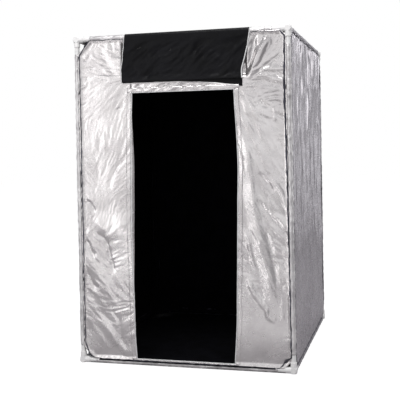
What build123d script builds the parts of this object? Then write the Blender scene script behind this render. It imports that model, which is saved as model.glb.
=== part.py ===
"""Printer enclosure tent: a box frame of plastic pipe in three-way corner fittings, with a silver and black
fabric skin hung from sleeves on the pipes, a doorway in the front and a door flap thrown back over the roof.

Frame: +X to the right and +Z up, seen from the front. The doorway faces -Y. The origin is on the ground, at
the centre of the footprint. Everything is in millimetres, at real size.
"""

import os
from math import sqrt

from build123d import *

# Pipe frame: half-inch pressure pipe and furniture-grade three-way elbows
PIPE_OD = 21.3
PIPE_WALL = 2.8
CROSS_PIPE = 900.0  # cut length of the pipes from left to right
DEPTH_PIPE = 990.0  # cut length of the pipes from front to back
POST_PIPE = 1370.0  # cut length of the upright pipes
FITTING_OD = 27.0
ARM_LENGTH = 33.0  # from where a fitting's three axes cross to the mouth of each socket
SOCKET_STOP = 14.0  # from the same point to the shoulder that a pipe's end meets
SOCKET_CLEARANCE = 0.05  # radial
FITTING_ROUND = 2.5
MOUTH_CHAMFER = 0.8

# Fabric skin
SLEEVE_GAP = 0.3  # radial slack between pipe and sleeve
SLEEVE_CLOTH = 0.75
SLEEVE_SETBACK = 78.0  # from the outer corner of the frame to where each sleeve starts
PANEL_CLOTH = 1.0
PANEL_OFFSET = 9.5  # how far each panel lies outside the plane of its pipes' axes
PANEL_EDGE = 8.4  # from a pipe's axis to the panel edge beside it
CORNER_CUT = 58.0  # the panels' corners are cut off to clear the fittings
BINDING_WIDTH = 6.0
BINDING_CLOTH = 0.6
FLOOR_EDGE = 3.6  # from a rail's axis to the floor's edge, which runs a little way under the rail

# Doorway
DOOR_CENTRE = 10.0
DOOR_WIDTH = 456.0
DOOR_BOTTOM = 31.0
DOOR_TOP = 1174.0
PIPING = 3.0
HEM_WIDTH = 20.0  # the facing sewn round the doorway
SILL_WIDTH = 3.0
HEM_CLOTH = 0.7

# Door flap, sewn on along its lower edge and thrown up over the front rail onto the roof
FLAP_WIDTH = 540.0
FLAP_SEAM = 1216.0  # height of the sewn edge, which is the hinge line
FLAP_CLOTH = 0.8
FLAP_REST_GAP = 0.3  # between the flap and the sleeves that it passes
FLAP_ON_ROOF = 980.0  # from the bend at the front rail to the hem
SEAM_TAPE_HEIGHT = 12.0
BEND_GAP = 0.7  # each half of the flap stops this far short of the bend line
HINGE_GAP = 0.3

# Worked out from the above
WIDTH = CROSS_PIPE + 2 * SOCKET_STOP + FITTING_OD
DEPTH = DEPTH_PIPE + 2 * SOCKET_STOP + FITTING_OD
HEIGHT = POST_PIPE + 2 * SOCKET_STOP + FITTING_OD
AXIS_X = (WIDTH - FITTING_OD) / 2
AXIS_Y = (DEPTH - FITTING_OD) / 2
AXIS_LOW = FITTING_OD / 2
AXIS_HIGH = HEIGHT - FITTING_OD / 2
MID_HEIGHT = HEIGHT / 2
SLEEVE_RADIUS = PIPE_OD / 2 + SLEEVE_GAP + SLEEVE_CLOTH
DOOR_LEFT = DOOR_CENTRE - DOOR_WIDTH / 2
DOOR_RIGHT = DOOR_CENTRE + DOOR_WIDTH / 2
FRONT_PLANE = -AXIS_Y - PANEL_OFFSET
FLAP_INNER = SLEEVE_RADIUS + FLAP_REST_GAP  # from a pipe's axis to the flap's silver face
FLAP_FRONT = -AXIS_Y - FLAP_INNER - FLAP_CLOTH / 2  # the hanging half's middle plane
FLAP_TOP = AXIS_HIGH + FLAP_INNER + FLAP_CLOTH / 2  # the lying half's middle plane

SIDES = {"left": -1, "right": 1}
FACES = {"front": -1, "back": 1}
LEVELS = {"bottom": -1, "top": 1}


def axis_height(level):
    """Height of the pipe axes at the bottom (-1) or top (1) of the frame."""
    return AXIS_HIGH if level > 0 else AXIS_LOW


def block(x0, x1, y0, y1, z0, z1):
    """A box between two opposite corners."""
    box = Box(x1 - x0, y1 - y0, z1 - z0)
    return Pos((x0 + x1) / 2, (y0 + y1) / 2, (z0 + z1) / 2) * box


# ---------------------------------------------------------------- pipe frame
def hollow_rod(outer_radius, inner_radius, length):
    """A round tube about the Z axis, centred on the origin."""
    return Cylinder(outer_radius, length) - Cylinder(inner_radius, length)


def fitting_arm():
    """One arm of a three-way elbow along +Z, solid, with a closed flat end at the frame's outer face."""
    start = FITTING_OD / 2
    arm = Pos(0, 0, (ARM_LENGTH - start) / 2) * Cylinder(FITTING_OD / 2, ARM_LENGTH + start)
    arm = fillet(arm.edges().group_by(Axis.Z)[0], FITTING_ROUND)
    return chamfer(arm.edges().group_by(Axis.Z)[-1], MOUTH_CHAMFER)


def fitting_bore():
    """What is hollow in one arm: the socket down to its shoulder, and the narrower way through."""
    socket_depth = ARM_LENGTH - SOCKET_STOP
    socket = Cylinder(PIPE_OD / 2 + SOCKET_CLEARANCE, socket_depth)
    way = Cylinder(PIPE_OD / 2 - PIPE_WALL, SOCKET_STOP)
    return Pos(0, 0, SOCKET_STOP + socket_depth / 2) * socket + Pos(0, 0, SOCKET_STOP / 2) * way


def corner_fitting():
    """The three-way elbow at the frame's lower front left corner, an arm along each pipe that meets there."""
    at = (-AXIS_X, -AXIS_Y, AXIS_LOW)
    body = Pos(*at) * Sphere(FITTING_OD / 2)
    hollow = Pos(*at) * Sphere(PIPE_OD / 2 - PIPE_WALL)
    for way in ((1, 0, 0), (0, 1, 0), (0, 0, 1)):
        arm = Plane(origin=at, z_dir=way)
        body += arm * fitting_arm()
        hollow += arm * fitting_bore()
    return body - hollow


def corner_fittings():
    """All eight elbows: the first one mirrored to the other corners."""
    found = {}
    middle = Plane((0, 0, MID_HEIGHT))
    for level_name, level in LEVELS.items():
        for face_name, face in FACES.items():
            for side_name, side in SIDES.items():
                fitting = corner_fitting()
                for turned, about in ((side, Plane.YZ), (face, Plane.XZ), (level, middle)):
                    if turned > 0:
                        fitting = mirror(fitting, about)
                found[f"fitting_{level_name}_{face_name}_{side_name}"] = fitting
    return found


def rods(make):
    """Twelve nodes, one for each edge of the frame; make takes the edge's pipe length and outer length."""
    found = {}
    for level_name, level in LEVELS.items():
        height = axis_height(level)
        for face_name, face in FACES.items():
            lie = Pos(0, face * AXIS_Y, height) * Rot(0, 90, 0)
            found[f"{level_name}_{face_name}_rail"] = lie * make(CROSS_PIPE, WIDTH)
        for side_name, side in SIDES.items():
            lie = Pos(side * AXIS_X, 0, height) * Rot(90, 0, 0)
            found[f"{level_name}_{side_name}_rail"] = lie * make(DEPTH_PIPE, DEPTH)
    for face_name, face in FACES.items():
        for side_name, side in SIDES.items():
            stand = Pos(side * AXIS_X, face * AXIS_Y, MID_HEIGHT)
            found[f"{face_name}_{side_name}_post"] = stand * make(POST_PIPE, HEIGHT)
    return found


def pipe(pipe_length, outer_length):
    return hollow_rod(PIPE_OD / 2, PIPE_OD / 2 - PIPE_WALL, pipe_length)


def sleeve(pipe_length, outer_length):
    return hollow_rod(SLEEVE_RADIUS, SLEEVE_RADIUS - SLEEVE_CLOTH, outer_length - 2 * SLEEVE_SETBACK)


# ---------------------------------------------------------------- fabric skin
def cut_plate(across, along, thickness, inset=0.0):
    """A flat plate with its corners cut off, in the XY plane; inset shrinks it evenly all round."""
    outline = Rectangle(across - 2 * inset, along - 2 * inset)
    outline = chamfer(outline.vertices(), CORNER_CUT - inset * (2 - sqrt(2)))
    return extrude(outline, thickness / 2, both=True)


def panel_sheet(across, along):
    return cut_plate(across, along, PANEL_CLOTH)


def panel_binding(across, along):
    """The folded tape round a panel's edge: a ring with the panel's cloth cut out of its middle."""
    thickness = PANEL_CLOTH + 2 * BINDING_CLOTH
    ring = cut_plate(across, along, thickness) - cut_plate(across, along, thickness, BINDING_WIDTH)
    return ring - panel_sheet(across, along)


def wall_places():
    """For each wall but the floor: the plane that its panel lies in, and its size across and along."""
    across = 2 * (AXIS_X - PANEL_EDGE)
    deep = 2 * (AXIS_Y - PANEL_EDGE)
    tall = AXIS_HIGH - AXIS_LOW - 2 * PANEL_EDGE
    side_x = AXIS_X + PANEL_OFFSET
    front_y = AXIS_Y + PANEL_OFFSET
    return {
        "front": (Plane((0, -front_y, MID_HEIGHT), (1, 0, 0), (0, -1, 0)), across, tall),
        "back": (Plane((0, front_y, MID_HEIGHT), (-1, 0, 0), (0, 1, 0)), across, tall),
        "left": (Plane((-side_x, 0, MID_HEIGHT), (0, -1, 0), (-1, 0, 0)), deep, tall),
        "right": (Plane((side_x, 0, MID_HEIGHT), (0, 1, 0), (1, 0, 0)), deep, tall),
        "roof": (Plane((0, 0, AXIS_HIGH + PANEL_OFFSET), (1, 0, 0), (0, 0, 1)), across, deep),
    }


def floor():
    """The floor lies flat on the ground, and its edge tape lies on top of it."""
    across = 2 * (AXIS_X - FLOOR_EDGE)
    deep = 2 * (AXIS_Y - FLOOR_EDGE)
    tape = BINDING_CLOTH * 2
    ring = cut_plate(across, deep, tape) - cut_plate(across, deep, tape, BINDING_WIDTH)
    return {
        "floor_panel": Pos(0, 0, PANEL_CLOTH / 2) * panel_sheet(across, deep),
        "floor_binding": Pos(0, 0, PANEL_CLOTH + tape / 2) * ring,
    }


def front_panel(whole):
    """The front wall's cloth round the doorway: left, right, header and sill, each a plain convex piece."""
    box = whole.bounding_box()
    y0, y1 = box.min.Y - 1, box.max.Y + 1
    z0, z1 = box.min.Z, box.max.Z
    return Compound(
        [
            (whole & block(box.min.X, DOOR_LEFT, y0, y1, z0, z1)).solid(),
            (whole & block(DOOR_RIGHT, box.max.X, y0, y1, z0, z1)).solid(),
            (whole & block(DOOR_LEFT, DOOR_RIGHT, y0, y1, DOOR_TOP, z1)).solid(),
            (whole & block(DOOR_LEFT, DOOR_RIGHT, y0, y1, z0, DOOR_BOTTOM)).solid(),
        ]
    )


def skin():
    """The six panels and the binding round each."""
    found = floor()
    for wall, (plane, across, along) in wall_places().items():
        sheet = plane * panel_sheet(across, along)
        found[f"{wall}_panel"] = front_panel(sheet) if wall == "front" else sheet
        found[f"{wall}_binding"] = plane * panel_binding(across, along)
    return found


# ---------------------------------------------------------------- doorway
def doorway_piping():
    """The corded edge inside the doorway, all the way round."""
    y0, y1 = FRONT_PLANE - PIPING / 2 + 0.4, FRONT_PLANE + PIPING / 2 + 0.4
    outer = block(DOOR_LEFT, DOOR_RIGHT, y0, y1, DOOR_BOTTOM, DOOR_TOP)
    inner = block(
        DOOR_LEFT + PIPING, DOOR_RIGHT - PIPING, y0 - 1, y1 + 1, DOOR_BOTTOM + PIPING, DOOR_TOP - PIPING
    )
    return outer - inner


def doorway():
    """The doorway's corded edge, the facing round it and the tape that the flap is sewn to."""
    back = FRONT_PLANE - PANEL_CLOTH / 2
    face = back - HEM_CLOTH
    side_low, side_high = DOOR_BOTTOM, DOOR_TOP
    wide_left, wide_right = DOOR_LEFT - HEM_WIDTH, DOOR_RIGHT + HEM_WIDTH
    seam_top = FLAP_SEAM - HINGE_GAP
    return {
        "doorway_piping": doorway_piping(),
        "doorway_hem_left": block(wide_left, DOOR_LEFT, face, back, side_low, side_high),
        "doorway_hem_right": block(DOOR_RIGHT, wide_right, face, back, side_low, side_high),
        "doorway_hem_top": block(wide_left, wide_right, face, back, DOOR_TOP, DOOR_TOP + HEM_WIDTH),
        "doorway_sill": block(wide_left, wide_right, face, back, DOOR_BOTTOM - SILL_WIDTH, DOOR_BOTTOM),
        "flap_seam_tape": block(
            DOOR_CENTRE - FLAP_WIDTH / 2,
            DOOR_CENTRE + FLAP_WIDTH / 2,
            FLAP_FRONT + FLAP_CLOTH / 2 + HINGE_GAP,
            back,
            seam_top - SEAM_TAPE_HEIGHT,
            seam_top,
        ),
    }


# ---------------------------------------------------------------- door flap
def flap_half(reach_start, reach_end, hem):
    """Half of the flap, flat in the XY plane along +Y, lining up: its cloth and its corded edges."""
    left = DOOR_CENTRE - FLAP_WIDTH / 2
    right = DOOR_CENTRE + FLAP_WIDTH / 2
    cloth_end = reach_end - PIPING if hem else reach_end
    low, high = -FLAP_CLOTH / 2, FLAP_CLOTH / 2
    sheet = block(left + PIPING, right - PIPING, reach_start, cloth_end, low, high)
    whole = block(left, right, reach_start, reach_end, low, high)
    return {"cloth": sheet, "piping": whole - sheet}


def door_flap():
    """Both halves where they rest: one up the front from the seam to the rail, one along the roof."""
    rise = FLAP_TOP - FLAP_SEAM
    hanging = Plane((0, FLAP_FRONT, FLAP_SEAM), (1, 0, 0), (0, -1, 0))
    lying = Plane((0, FLAP_FRONT, FLAP_TOP), (1, 0, 0), (0, 0, 1))
    lower = flap_half(HINGE_GAP, rise - BEND_GAP, hem=False)
    upper = flap_half(BEND_GAP, FLAP_ON_ROOF, hem=True)
    found = {f"flap_lower_{name}": hanging * shape for name, shape in lower.items()}
    found.update({f"flap_upper_{name}": lying * shape for name, shape in upper.items()})
    return found


def tent():
    """Every node of the tent, by name."""
    nodes = corner_fittings()
    nodes.update({f"{name}_pipe": shape for name, shape in rods(pipe).items()})
    nodes.update({f"{name}_sleeve": shape for name, shape in rods(sleeve).items()})
    nodes.update(skin())
    nodes.update(doorway())
    nodes.update(door_flap())
    return nodes


os.makedirs("parts", exist_ok=True)
for name, shape in tent().items():
    export_step(shape, f"parts/{name}.step")
print(f"overall {WIDTH:g} x {DEPTH:g} x {HEIGHT:g} mm")
print(f"flap bend line at y {FLAP_FRONT:g}, z {FLAP_TOP:g}; seam at z {FLAP_SEAM:g}")
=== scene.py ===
"""The looks of the printer enclosure tent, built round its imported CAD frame: fabric skin, sleeves, seams,
corded edges and thrown-back door flap, with materials, light and camera.

Metres, in the frame of the CAD model: +X right, +Z up, the doorway faces -Y, the origin is on the ground.
A wall's own coordinates are u across and v up from its middle; its height map says how far it stands out.
"""

import math

import bpy
import numpy as np
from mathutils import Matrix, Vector


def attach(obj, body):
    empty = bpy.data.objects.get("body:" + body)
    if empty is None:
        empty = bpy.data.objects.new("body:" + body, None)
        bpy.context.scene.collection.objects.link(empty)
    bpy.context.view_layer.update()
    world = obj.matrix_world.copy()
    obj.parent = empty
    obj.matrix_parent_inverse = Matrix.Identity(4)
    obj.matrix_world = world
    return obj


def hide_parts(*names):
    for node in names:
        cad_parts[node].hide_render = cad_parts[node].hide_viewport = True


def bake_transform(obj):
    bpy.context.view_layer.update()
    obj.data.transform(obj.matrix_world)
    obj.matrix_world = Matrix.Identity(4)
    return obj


TAU = 2 * math.pi

# Pipe frame
AXIS_X = 0.464
AXIS_Y = 0.509
AXIS_LOW = 0.0135
AXIS_HIGH = 1.4115
HALF_WIDTH = 0.4775
HALF_DEPTH = 0.5225
HEIGHT = 1.425
MID_HEIGHT = HEIGHT / 2
PIPE_RADIUS = 0.01065
SLEEVE_START = 0.078  # from the outer corner of the frame
SLEEVE_RADIUS = 0.0121

# Panels
PANEL_OFFSET = 0.0095
PANEL_EDGE = 0.0062
CLOTH = 0.0009
PANEL_X = AXIS_X - PANEL_EDGE  # half sizes
PANEL_Y = AXIS_Y - PANEL_EDGE
PANEL_Z = (AXIS_HIGH - AXIS_LOW) / 2 - PANEL_EDGE
FLOOR_X = AXIS_X + 0.003
FLOOR_Y = AXIS_Y + 0.003
FRONT_Y = -AXIS_Y - PANEL_OFFSET
GRID = 0.0026  # spacing of the height maps

# Each wall's half width and half height
SIZES = {
    "right": (PANEL_Y, PANEL_Z),
    "left": (PANEL_Y, PANEL_Z),
    "back": (PANEL_X, PANEL_Z),
    "roof": (PANEL_X, PANEL_Y),
    "floor": (FLOOR_X, FLOOR_Y),
    "front": (PANEL_X, PANEL_Z),
}
# Each wall's cut-off corners: lower left, lower right, upper right, upper left
CUTS = {
    "front": (0.05, 0.03, 0.022, 0.06),
    "back": (0.06, 0.06, 0.06, 0.06),
    "left": (0.06, 0.095, 0.1, 0.06),
    "right": (0.032, 0.055, 0.06, 0.034),
    "roof": (0.095, 0.034, 0.06, 0.06),
    "floor": (0.03, 0.03, 0.03, 0.03),
}

# Each wall's plane: its centre, and its directions across, up and outwards
SIDE_X = AXIS_X + PANEL_OFFSET
PLANES = {
    "front": ((0, FRONT_Y, MID_HEIGHT), (1, 0, 0), (0, 0, 1), (0, -1, 0)),
    "back": ((0, -FRONT_Y, MID_HEIGHT), (-1, 0, 0), (0, 0, 1), (0, 1, 0)),
    "left": ((-SIDE_X, 0, MID_HEIGHT), (0, -1, 0), (0, 0, 1), (-1, 0, 0)),
    "right": ((SIDE_X, 0, MID_HEIGHT), (0, 1, 0), (0, 0, 1), (1, 0, 0)),
    "roof": ((0, 0, AXIS_HIGH + PANEL_OFFSET), (1, 0, 0), (0, 1, 0), (0, 0, 1)),
    "floor": ((0, 0, 0.0002), (-1, 0, 0), (0, 1, 0), (0, 0, -1)),
}

# Doorway: its edges as (height, x), the straight columns of cloth that bend to them, and its bottom and top
DOOR_LEFT = [(1.2, -0.215), (1.15, -0.216), (1, -0.222), (0.9, -0.224), (0.75, -0.2265), (0.55, -0.228),
             (0.4, -0.225), (0.2, -0.222), (0.1, -0.22), (0.03, -0.215), (0, -0.214)]
DOOR_RIGHT = [(1.2, 0.235), (1.15, 0.237), (1, 0.2435), (0.85, 0.247), (0.7, 0.2435), (0.5, 0.24),
              (0.3, 0.2345), (0.2, 0.232), (0.1, 0.226), (0.03, 0.2215), (0, 0.221)]
STRAIGHT_LEFT, STRAIGHT_RIGHT = -0.218, 0.238
DOOR_BOTTOM = 0.0265
DOOR_TOP = 1.174

# Door flap
FLAP_Y = -0.5214
SEAM_Z = 1.216
BEND_Z = 1.4239
FLAP_ON_ROOF = 0.98
BEND_RADIUS = 0.012
FLAP_MID = 0.025  # x of the middle of its height map
ROOF_SAG = 0.022
BEHIND_FLAP = 0.013  # how far in the front wall lies there

# Seams, cords and the spacing of the points that cloths are made of
PATH_STEP = 0.005
SEAM_INSET = 0.0065
SEAM_WIDTH = 0.0058
CORD_HEIGHT = 0.0024
FRONT_STEP = 0.0036
WALL_STEP = 0.0055
FLOOR_STEP = 0.012


# ---- shapes of cloth
def smooth(x):
    """0 below 0, 1 above 1, with no corner in between."""
    t = np.clip(x, 0, 1)
    return t * t * (3 - 2 * t)


def curve_at(points, t):
    """A smooth curve through (t, value) points, in any order of t."""
    known = np.array(sorted(points), float)
    ts, values = known[:, 0], known[:, 1]
    slopes = np.gradient(values, ts)
    t = np.clip(t, ts[0], ts[-1])
    i = np.clip(np.searchsorted(ts, t) - 1, 0, len(ts) - 2)
    span = ts[i + 1] - ts[i]
    s = (t - ts[i]) / span
    low = (1 + 2 * s) * (1 - s) ** 2 * values[i] + s * (1 - s) ** 2 * span * slopes[i]
    high = s * s * (3 - 2 * s) * values[i + 1] + s * s * (s - 1) * span * slopes[i + 1]
    return low + high


def rounded_line(points):
    """A polyline with its corners rounded: points along a Catmull-Rom curve, six to each stretch."""
    p = np.array(points, float)
    p = np.vstack([2 * p[0] - p[1], p, 2 * p[-1] - p[-2]])
    s = np.linspace(0, 1, 6, endpoint=False)[:, None]
    parts = []
    for a, b, c, d in zip(p[:-3], p[1:-2], p[2:-1], p[3:]):
        cubic = 3 * b - a - 3 * c + d
        parts.append(0.5 * (2 * b + (c - a) * s + (2 * a - 5 * b + 4 * c - d) * s**2 + cubic * s**3))
    return np.vstack(parts + [p[-2:-1]])


def beside(u, v, line):
    """How far each point lies from a line, positive above or right of it going down, and its share along."""
    line = rounded_line(line)
    lengths = np.linalg.norm(np.diff(line, axis=0), axis=1)
    best = np.full(u.shape, 1e9)
    side, along = np.zeros(u.shape), np.zeros(u.shape)
    start = 0.0
    for a, b, length in zip(line[:-1], line[1:], lengths):
        du, dv = (b - a) / length
        clipped = np.clip((u - a[0]) * du + (v - a[1]) * dv, 0, length)
        off = np.hypot(u - a[0] - clipped * du, v - a[1] - clipped * dv)
        nearer = off < best
        best = np.where(nearer, off, best)
        side = np.where(nearer, du * (v - a[1]) - dv * (u - a[0]), side)
        along = np.where(nearer, (start + clipped) / lengths.sum(), along)
        start += length
    return np.where(side < 0, -best, best), along


def flank(t):
    """The side of a fold: 1 at its crest, an even slope down, 0 beyond its foot at 1."""
    crest, foot = 0.1, 0.09
    return foot * np.log1p(np.exp((1 - np.sqrt(t * t + crest * crest)) / foot))


def fold(u, v, line, height, before, after):
    """A crease along a line with even slopes, fading out over a quarter of it at each end. Going down or to
    the right, before is its width on the left or below, and after on the right or above."""
    margin = 3 * max(before, after)
    low, high = np.min(line, axis=0) - margin, np.max(line, axis=0) + margin
    near = (u > low[0]) & (u < high[0]) & (v > low[1]) & (v < high[1])
    total = np.zeros(u.shape)
    off, along = beside(u[near], v[near], line)
    ends = smooth(along / 0.25) * smooth((1 - along) / 0.25)
    total[near] = height * ends * flank(off / np.where(off > 0, after, before))
    return total


def waves(u, v, rng, length, height, count):
    """Even waviness of about one wavelength, in all directions."""
    total = np.zeros(u.shape)
    for _ in range(count):
        angle = rng.uniform(0, math.pi)
        k = TAU / (length * rng.uniform(0.7, 1.5))
        total += np.sin(k * (u * math.cos(angle) + v * math.sin(angle)) + rng.uniform(0, TAU))
    return height * total / math.sqrt(count / 2)


def sampled(field, row, col):
    """The field's values between its grid points; its edges carry on outwards."""
    row = np.clip(row, 0, field.shape[0] - 1.001)
    col = np.clip(col, 0, field.shape[1] - 1.001)
    i, j = row.astype(int), col.astype(int)
    a, b = row - i, col - j
    top = field[i, j] * (1 - b) + field[i, j + 1] * b
    bottom = field[i + 1, j] * (1 - b) + field[i + 1, j + 1] * b
    return top * (1 - a) + bottom * a


def blurred(field, spread):
    """The field smoothed by a bell of this many grid steps."""
    down = np.fft.fftfreq(field.shape[0])[:, None]
    across = np.fft.rfftfreq(field.shape[1])[None, :]
    bell = np.exp(-2 * (math.pi * spread) ** 2 * (down**2 + across**2))
    return np.fft.irfft2(np.fft.rfft2(field) * bell, field.shape)


def streaks(shape, rng, angle, width, length):
    """Wrinkles that run along the angle given at each grid point: noise smeared that way, about 1 high."""
    noise = rng.normal(size=shape)
    noise = blurred(noise, width / GRID) - blurred(noise, 2.2 * width / GRID)
    rows, cols = np.indices(shape)
    down, across = np.sin(angle), np.cos(angle)
    total = np.zeros(shape)
    for k in np.linspace(-1.8, 1.8, int(3.6 * length / width) | 1):
        reach = k * length / GRID
        total += math.exp(-k * k) * sampled(noise, rows + reach * down, cols + reach * across)
    return total / total.std()


def grain(places, u, v):
    """The way wrinkles lie and their strength, blended between places given as (u, v, degrees, strength)."""
    reach = 0.055
    turn = np.zeros(u.shape, complex)
    strength = np.zeros(u.shape)
    weights = np.zeros(u.shape)
    for place_u, place_v, degrees, amount in places:
        weight = np.exp(-((u - place_u) ** 2 + (v - place_v) ** 2) / reach**2) + 1e-7
        turn += weight * np.exp(2j * math.radians(degrees))
        strength += weight * amount
        weights += weight
    return np.angle(turn) / 2, strength / weights


def patchy(shape, rng, spread):
    """Slow patches between 0 and 1."""
    field = blurred(rng.normal(size=shape), spread / GRID)
    return smooth(0.5 + 0.55 * field / field.std())


def wrinkled(shape, rng, angle, strength):
    """Wrinkles of foil-faced cloth: ripples of three sizes and thin sharp creases, each in patches."""
    wide = streaks(shape, rng, angle, 0.0085, 0.045) * patchy(shape, rng, 0.045)
    soft = streaks(shape, rng, angle, 0.0044, 0.024) * patchy(shape, rng, 0.03)
    fine = streaks(shape, rng, angle, 0.0026, 0.013) * (0.4 + 0.6 * patchy(shape, rng, 0.025))
    lines = np.exp(-((streaks(shape, rng, angle, 0.0065, 0.034) / 0.42) ** 2)) * patchy(shape, rng, 0.035)
    return strength * (0.0011 * wide + 0.0007 * soft + 0.00042 * fine + 0.0009 * lines)


def puckers(distance, along, rng, spacing, reach, height):
    """Little folds that run into a cloth from a seam."""
    phase = 0.9 * np.sin(along * TAU / (spacing * 5.3) + rng.uniform(0, TAU))
    phase += 0.7 * np.sin(along * TAU / (spacing * 2.7) + rng.uniform(0, TAU))
    size = 0.5 + 0.5 * np.sin(along * TAU / (spacing * 7.1) + rng.uniform(0, TAU))
    ripple = np.sin(along * TAU / spacing + 2 * phase)
    return height * size * ripple * np.exp(-distance / reach) * smooth(distance / 0.006)


class HeightMap:
    """How far a cloth stands out, on an even grid over its own u and v."""

    def __init__(self, half_u, half_v):
        self.half_u, self.half_v = half_u, half_v
        cols, rows = int(2 * half_u / GRID) + 1, int(2 * half_v / GRID) + 1
        self.u, self.v = np.meshgrid(np.linspace(-half_u, half_u, cols), np.linspace(-half_v, half_v, rows))
        self.height = np.zeros(self.u.shape)

    def at(self, u, v):
        """The heights at any places on it."""
        rows, cols = self.height.shape
        row = (v + self.half_v) / (2 * self.half_v) * (rows - 1)
        col = (u + self.half_u) / (2 * self.half_u) * (cols - 1)
        return sampled(self.height, row, col)


# ---- meshes
def new_mesh(name, points, faces, materials, slots):
    """A smooth-shaded mesh from arrays of points, four-cornered faces and the faces' material slots."""
    mesh = bpy.data.meshes.new(name)
    mesh.vertices.add(len(points))
    mesh.vertices.foreach_set("co", np.asarray(points, np.float32).ravel())
    mesh.loops.add(faces.size)
    mesh.loops.foreach_set("vertex_index", faces.astype(np.int32).ravel())
    mesh.polygons.add(len(faces))
    mesh.polygons.foreach_set("loop_start", np.arange(0, faces.size, 4, dtype=np.int32))
    for material in materials:
        mesh.materials.append(material)
    mesh.polygons.foreach_set("material_index", slots.astype(np.int32))
    mesh.polygons.foreach_set("use_smooth", np.ones(len(faces), bool))
    mesh.update(calc_edges=True)
    mesh.validate()
    thing = bpy.data.objects.new(name, mesh)
    bpy.context.scene.collection.objects.link(thing)
    return thing


def grid_faces(rows, cols, wrap=False):
    """The four-cornered faces of a grid of points; wrap also joins its last column to its first."""
    index = np.arange(rows * cols).reshape(rows, cols)
    if wrap:
        index = np.concatenate([index, index[:, :1]], axis=1)
    return np.stack([index[:-1, :-1], index[:-1, 1:], index[1:, 1:], index[1:, :-1]], axis=-1).reshape(-1, 4)


def normals_of(points, rows, cols):
    """Unit normals of a grid of points, row by row."""
    p = points.reshape(rows, cols, 3)
    n = np.cross(np.gradient(p, axis=1), np.gradient(p, axis=0))
    return unit(n).reshape(-1, 3)


def closed_sheet(name, outer, inner, quads, materials, outer_slots):
    """A thin body between two like sets of points: outer faces, inner faces and the rims that join them."""
    shift = len(outer)
    edges = np.concatenate([quads[:, [0, 1]], quads[:, [1, 2]], quads[:, [2, 3]], quads[:, [3, 0]]])
    codes = edges[:, 0] * shift + edges[:, 1]
    back = edges[:, 1] * shift + edges[:, 0]
    a, b = edges[~np.isin(codes, back)].T
    rim = np.stack([b, a, a + shift, b + shift], axis=-1)
    faces = np.concatenate([quads, quads[:, ::-1] + shift, rim])
    slots = np.concatenate([outer_slots, np.ones(len(quads)), np.zeros(len(rim))])
    used = np.unique(faces)
    renumber = np.zeros(2 * shift, int)
    renumber[used] = np.arange(len(used))
    return new_mesh(name, np.concatenate([outer, inner])[used], renumber[faces], materials, slots)


def cloth_sheet(name, points, rows, cols, materials, keep=None, thickness=CLOTH):
    """A thin sheet over a grid of points, of which keep picks the faces. Its outer face looks along the
    cross product of the column and row directions."""
    quads = grid_faces(rows, cols)
    if keep is not None:
        quads = quads[keep.reshape(-1)]
    lining = points - thickness * normals_of(points, rows, cols)
    return closed_sheet(name, points, lining, quads, materials, np.zeros(len(quads)))


def ribbon(name, path, sides, outs, width, height, material, closed=False, around=8):
    """A flattened tube along a path. sides points across it and outs away from the cloth, at each point."""
    n = len(path)
    angles = np.linspace(0, TAU, around, endpoint=False)[None, :, None]
    width, height = (np.broadcast_to(x, n)[:, None, None] for x in (width, height))
    across = sides[:, None, :] * (width / 2) * np.cos(angles)
    outwards = outs[:, None, :] * (height / 2) * np.sin(angles)
    points = (path[:, None, :] + across + outwards).reshape(-1, 3)
    rows = n + 1 if closed else n
    faces = grid_faces(rows, around, wrap=True)[:, ::-1] % (n * around)
    if not closed:
        cap = np.array([(0, k, k + 1, k + 2) for k in range(1, around - 2, 2)])
        faces = np.concatenate([faces, cap, (cap + (n - 1) * around)[:, ::-1]])
    return new_mesh(name, points, faces, [material], np.zeros(len(faces)))


def unit(v):
    """The same directions, each of length 1."""
    return v / np.maximum(np.linalg.norm(v, axis=-1, keepdims=True), 1e-12)


def spaced(points, step, closed=False):
    """The same path with its points about step apart."""
    p = np.array(points, float)
    if closed:
        p = np.vstack([p, p[:1]])
    lengths = np.linalg.norm(np.diff(p, axis=0), axis=1)
    reach = np.concatenate([[0], np.cumsum(lengths)])
    count = max(int(reach[-1] / step), 4)
    at = np.linspace(0, reach[-1], count, endpoint=not closed)
    return np.stack([np.interp(at, reach, p[:, k]) for k in range(p.shape[1])], axis=1)


# ---- materials
def new_node(tree, kind, **sockets):
    """A shader node with the values of its sockets; an underscore stands for a space in a socket's name."""
    made = tree.nodes.new("ShaderNode" + kind)
    for socket, value in sockets.items():
        made.inputs[socket.replace("_", " ")].default_value = value
    return made


def noise_node(tree, scale, detail, roughness=0.55, stretch=(1, 1, 1)):
    """Noise fixed to the piece's own coordinates."""
    place = new_node(tree, "TexCoord")
    mapping = new_node(tree, "Mapping", Scale=stretch)
    noise = new_node(tree, "TexNoise", Scale=scale, Detail=detail, Roughness=roughness)
    tree.links.new(place.outputs["Object"], mapping.inputs["Vector"])
    tree.links.new(mapping.outputs["Vector"], noise.inputs["Vector"])
    return noise.outputs["Fac"]


def grey(value):
    return (value, value, value, 1)


def varied(tree, shader, socket, scale, low, high, detail=4, start=0.35, end=0.65):
    """Lets noise drive a socket between two colours."""
    ramp = new_node(tree, "ValToRGB")
    first, last = ramp.color_ramp.elements
    first.position, first.color = start, low
    last.position, last.color = end, high
    tree.links.new(noise_node(tree, scale, detail), ramp.inputs["Fac"])
    tree.links.new(ramp.outputs["Color"], shader.inputs[socket])


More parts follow.
